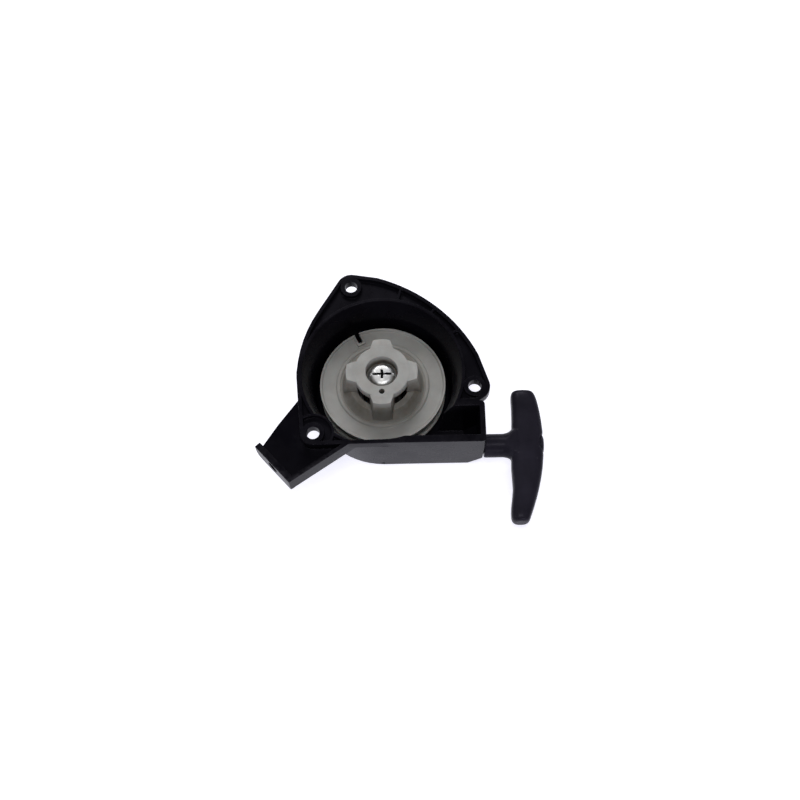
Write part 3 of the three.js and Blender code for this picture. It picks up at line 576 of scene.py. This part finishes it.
def clean_copy(node, name):
    """A node's own shape with its small triangles dissolved."""
    shape = bmesh.new()
    shape.from_mesh(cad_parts[node].data)
    bmesh.ops.remove_doubles(shape, verts=shape.verts, dist=0.002 * MM)
    bmesh.ops.dissolve_limit(
        shape, angle_limit=math.radians(0.6), verts=shape.verts, edges=shape.edges)
    bmesh.ops.remove_doubles(shape, verts=shape.verts, dist=0.06 * MM)
    bmesh.ops.recalc_face_normals(shape, faces=shape.faces)
    mesh = bpy.data.meshes.new(name)
    shape.to_mesh(mesh)
    shape.free()
    return mesh


def softened(node, body, material, slot, width, segments=2):
    name = node + "_finished"
    piece = add_piece(name, clean_copy(node, name), body, material, slot, node)
    rounded(piece, width, segments)
    print("%s: %d faces" % (name, len(piece.data.polygons)))
    return piece


softened("starter_case", "case", CASE_BLACK, "case_plastic", 0.25 * MM)
softened("reel", "reel", REEL_NYLON, "reel_nylon", 0.2 * MM)
softened("grip_cap", "grip", GRIP_BLACK, "grip_plastic", 0.15 * MM)
softened("rope_guide", "case", ZINC, "zinc", 0.12 * MM)
softened("centre_washer", "case", WASHER_PAINTED_SHADE, "zinc", 0.12 * MM)
softened("knot_washer", "grip", ZINC, "zinc", 0.12 * MM)
softened("spring_cup", "case", CUP_STEEL, "cup_steel", 0.2 * MM)
softened("recoil_spring", "case", SPRING_BLUE, "spring_steel", 0.08 * MM, 1)

# %% [markdown]
# ## The grip
# The grip is one soft moulding, so its bar and its stem flow into each other. A Bevel only rounds an
# edge where two faces meet, and here the whole joint should melt. Remeshing the plain solid into small
# even squares, and then relaxing them, rounds every edge and fills every corner by the same amount,
# with nothing to select by hand.

# %% Grip
GRIP_CELL = 0.42 * MM
GRIP_RELAX = 9

grip = add_piece("grip_finished", clean_copy("grip", "grip_finished"), "grip", GRIP_BLACK, "grip_plastic", "grip")
cells = grip.modifiers.new("even cells", "REMESH")
cells.mode = "VOXEL"
cells.voxel_size = GRIP_CELL
relax = grip.modifiers.new("relax", "SMOOTH")
relax.factor = 0.5
relax.iterations = GRIP_RELAX
settle_modifiers(grip)
grip.data.shade_smooth()
grip.data.materials.clear()
grip.data.materials.append(GRIP_BLACK)
print("grip: %d faces" % len(grip.data.polygons))

# %% [markdown]
# ## Turned and wound pieces
# Two small builders make the rest. One spins a ring of points up a height, with a radius that may
# change with the angle, which gives a round head and a real screw thread. The other sweeps a round
# section along a path and writes the braid's two numbers into the UV map. A curve with a bevel would
# sweep as well, but it doesn't carry those numbers in metres.

# %% Builders
def spun(name, rows, sides, radius):
    """A closed skin over rings. Each row is a height, radius(row, turn) gives its radius."""
    points, faces = [], []
    for row in rows:
        for i in range(sides):
            a = 2 * math.pi * i / sides
            r = radius(row, i / sides)
            points.append((r * math.cos(a), r * math.sin(a), row[0]))
    for ring in range(len(rows) - 1):
        for i in range(sides):
            j = (i + 1) % sides
            low, high = ring * sides, (ring + 1) * sides
            faces.append((low + i, low + j, high + j, high + i))
    faces.append(tuple(reversed(range(sides))))
    faces.append(tuple((len(rows) - 1) * sides + i for i in range(sides)))
    mesh = bpy.data.meshes.new(name)
    mesh.from_pydata(points, [], faces)
    return mesh


def swept(shape, path, radius, sides=14):
    """Adds a round cord along a path to a bmesh, with metres along and turns round in its UV map."""
    layer = shape.loops.layers.uv.verify()
    last = len(path) - 1
    side = Vector((0.13, 0.27, 1)).normalized()
    rings, lengths, travelled = [], [], 0.0
    for i, point in enumerate(path):
        ahead = (path[min(i + 1, last)] - path[max(i - 1, 0)]).normalized()
        side = (side - ahead * side.dot(ahead)).normalized()
        other = ahead.cross(side)
        if i:
            travelled += (point - path[i - 1]).length
        lengths.append(travelled)
        angles = [2 * math.pi * k / sides for k in range(sides)]
        spokes = [side * math.cos(a) + other * math.sin(a) for a in angles]
        rings.append([shape.verts.new(point + spoke * radius) for spoke in spokes])
    for i in range(last):
        for k in range(sides):
            j = (k + 1) % sides
            face = shape.faces.new((rings[i][k], rings[i][j], rings[i + 1][j], rings[i + 1][k]))
            spots = ((lengths[i], k), (lengths[i], k + 1), (lengths[i + 1], k + 1), (lengths[i + 1], k))
            for loop, (length, turn) in zip(face.loops, spots):
                loop[layer].uv = (length, turn / sides)
            face.smooth = True
    shape.faces.new(list(reversed(rings[0])))
    shape.faces.new(rings[-1])
    return travelled


def cord_piece(name, body, material, node, *runs):
    """One mesh of one or more cords, each given as (path, radius)."""
    shape = bmesh.new()
    lengths = [swept(shape, path, radius) for path, radius in runs]
    bmesh.ops.recalc_face_normals(shape, faces=shape.faces)
    mesh = bpy.data.meshes.new(name)
    shape.to_mesh(mesh)
    shape.free()
    piece = add_piece(name, mesh, body, material, "rope_fibre", node)
    print("%s: %.1f mm of cord" % (name, sum(lengths) / MM))
    return piece


# %% [markdown]
# ## The centre screw
# A domed head with a slot and a cross, on a threaded shank. The recess could be painted on with bump,
# but it is the only sharp dark shape in the middle of the picture, so it is really cut. The thread is
# one helix: the radius rises and falls once for each turn of the pitch.

# %% Centre screw
screw_low, screw_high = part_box("centre_screw")
screw_top = screw_high[2]
HEAD_R = (screw_high[0] - screw_low[0]) / 2
HEAD_HEIGHT = 2.4 * MM
SHANK_R = 2.0 * MM
PITCH = 0.7 * MM
THREAD = 0.28 * MM
head_foot = screw_top - HEAD_HEIGHT

DOME_HEIGHT = HEAD_HEIGHT * 0.62
DOME_STEPS = 14
DOME_FULLNESS = 0.42

head_rows = [(head_foot, HEAD_R - 0.25 * MM), (head_foot + 0.2 * MM, HEAD_R)]
for step in range(DOME_STEPS + 1):
    a = math.radians(90 * step / DOME_STEPS)
    rise = DOME_HEIGHT * math.sin(a)
    head_rows.append((screw_top - DOME_HEIGHT + rise, HEAD_R * max(math.cos(a), 0.02) ** DOME_FULLNESS))
head_mesh = spun("screw_head", head_rows, 96, lambda row, turn: row[1])


def thread_radius(row, turn):
    """A V thread that fades out at the tip and under the head."""
    phase = (row[0] / PITCH - turn) % 1
    wave = abs(phase * 2 - 1) * THREAD
    fade = min((row[0] - screw_low[2]) / (1.2 * MM), (head_foot - row[0]) / (0.8 * MM), 1)
    return SHANK_R - THREAD * max(fade, 0) + wave * max(fade, 0) - (0.4 * MM if fade <= 0.02 else 0)


shank_steps = 110
shank_height = head_foot + 0.3 * MM - screw_low[2]
shank_rows = [(screw_low[2] + shank_height * i / shank_steps,) for i in range(shank_steps + 1)]
shank_mesh = spun("screw_shank", shank_rows, 40, thread_radius)


def cutter(sizes, place):
    """A box for cutting, as a loose object."""
    shape = bmesh.new()
    bmesh.ops.create_cube(shape, size=1)
    bmesh.ops.scale(shape, vec=sizes, verts=shape.verts)
    bmesh.ops.translate(shape, vec=place, verts=shape.verts)
    mesh = bpy.data.meshes.new("cutter")
    shape.to_mesh(mesh)
    shape.free()
    box = bpy.data.objects.new("cutter", mesh)
    bpy.context.scene.collection.objects.link(box)
    return box


def combined(piece, tool, operation):
    step = piece.modifiers.new(operation, "BOOLEAN")
    step.operation = operation
    step.object = tool
    step.solver = "EXACT"
    settle_modifiers(piece)
    bpy.data.objects.remove(tool)


screw = add_piece("screw_finished", head_mesh, "case", SCREW_ZINC, "zinc", "centre_screw")
shank = bpy.data.objects.new("shank", shank_mesh)
bpy.context.scene.collection.objects.link(shank)
combined(screw, shank, "UNION")
SLOT_FLOOR = screw_top - 1.2 * MM
SLOT_WIDTH = 1.15 * MM
CROSS_SPAN = 4.6 * MM
CROSS_FLOOR = SLOT_FLOOR - 0.5 * MM
for reach, across, floor in (
    (HEAD_R * 2.2, SLOT_WIDTH, SLOT_FLOOR),
    (SLOT_WIDTH, CROSS_SPAN, CROSS_FLOOR),
    (CROSS_SPAN, SLOT_WIDTH, CROSS_FLOOR),
):
    depth = screw_top + 1 * MM - floor
    combined(screw, cutter((reach, across, depth), (0, 0, floor + depth / 2)), "DIFFERENCE")
screw.data.materials.clear()
screw.data.materials.append(SCREW_ZINC)
rounded(screw, 0.07 * MM, 2, 40)
print("screw: %d faces" % len(screw.data.polygons))

# %% [markdown]
# ## The cord on the reel
# The cord lies in the groove in four turns, each one riding in the hollow beside the last. It could be
# a plain ring, since little of it shows, but through the notch and past the reel's edge the eye finds
# separate strands. The turns climb in a spiral, and step from one side of the groove to the other once
# a turn.

# %% Cord on the reel
winding_low, winding_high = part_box("rope_winding")
TURNS = 4
STEPS_A_TURN = 72
middle_z = (winding_low[2] + winding_high[2]) / 2
sway = (winding_high[2] - winding_low[2]) / 2 - ROPE_R
OUTER_R = winding_high[0] - ROPE_R - 0.02 * MM
TURN_STEP = 1.83 * MM


def winding_point(i):
    turn = i / STEPS_A_TURN
    a = 2 * math.pi * turn
    r = OUTER_R - TURN_STEP * (TURNS - turn)
    swing = math.tanh(6 * math.cos(math.pi * turn)) / math.tanh(6)
    return Vector((r * math.cos(a), r * math.sin(a), middle_z + sway * swing))


winding_path = [winding_point(i) for i in range(TURNS * STEPS_A_TURN + 1)]
cord_piece("winding_finished", "reel", COIL_CORD, "rope_winding", (winding_path, ROPE_R))

# %% [markdown]
# ## The knots
# Each end of the cord is stopped by an overhand knot pulled tight. A knot could be a rounded lump, but
# a trefoil curve is a true overhand knot with its ends joined, and a fat cord swept along it shows the
# crossings.

# %% Knots
def trefoil(centre, wide, deep, axis):
    """A closed knot round an axis, 'X' or 'Z', with its crossings deep apart."""
    path = []
    steps = 84
    for i in range(steps + 1):
        t = 2 * math.pi * i / steps
        u = wide * (math.sin(t) + 2 * math.sin(2 * t))
        v = wide * (math.cos(t) - 2 * math.cos(2 * t))
        w = -deep * math.sin(3 * t)
        path.append(centre + (Vector((w, u, v)) if axis == "X" else Vector((u, v, w))))
    return path


def line(a, b, steps=12):
    return [a.lerp(b, i / steps) for i in range(steps + 1)]


def middle(node):
    low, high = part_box(node)
    return (Vector(low) + Vector(high)) / 2


grip_knot = middle("grip_knot")
cord_piece(
    "grip_knot_finished", "rope_end", COIL_CORD, "grip_knot",
    (trefoil(grip_knot, 0.88 * MM, 1.25 * MM, "X"), 1.15 * MM))

reel_low, reel_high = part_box("reel_knot")
knot_half = (reel_high[0] - reel_low[0]) / 2
reel_knot = middle("reel_knot")
reel_knot.z = reel_low[2] + knot_half
cord_piece(
    "reel_knot_finished", "reel", COIL_CORD, "reel_knot",
    (trefoil(reel_knot, 0.68 * MM, 0.95 * MM, "Z"), 1.0 * MM),
    (line(reel_knot, Vector((reel_knot.x, reel_knot.y, reel_high[2]))), ROPE_R - 0.05 * MM))

# %% [markdown]
# ## The cord to the grip
# The last stretch runs from beside the reel, through the guide, to the knot in the grip. When the grip
# is pulled, new cord comes off the reel. Nothing here can grow new cord. The stretch is one cord on
# no body, with rings all along it.

# %% Cord to the grip
lead_low, lead_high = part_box("rope_lead")
LEAD_START = Vector((14.0, -29.25, 11.5)) * MM
LEAD_TURN = Vector((38.0, -30.3, 11.5)) * MM
LEAD_END = Vector((lead_high[0], ROPE_Y, ROPE_Z))
lead_path = line(LEAD_START, LEAD_TURN, 30)[:-1] + line(LEAD_TURN, LEAD_END, 60)
lead = cord_piece("lead_finished", None, PULLED_CORD, "rope_lead", (lead_path, ROPE_R - 0.02 * MM))
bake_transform(lead)
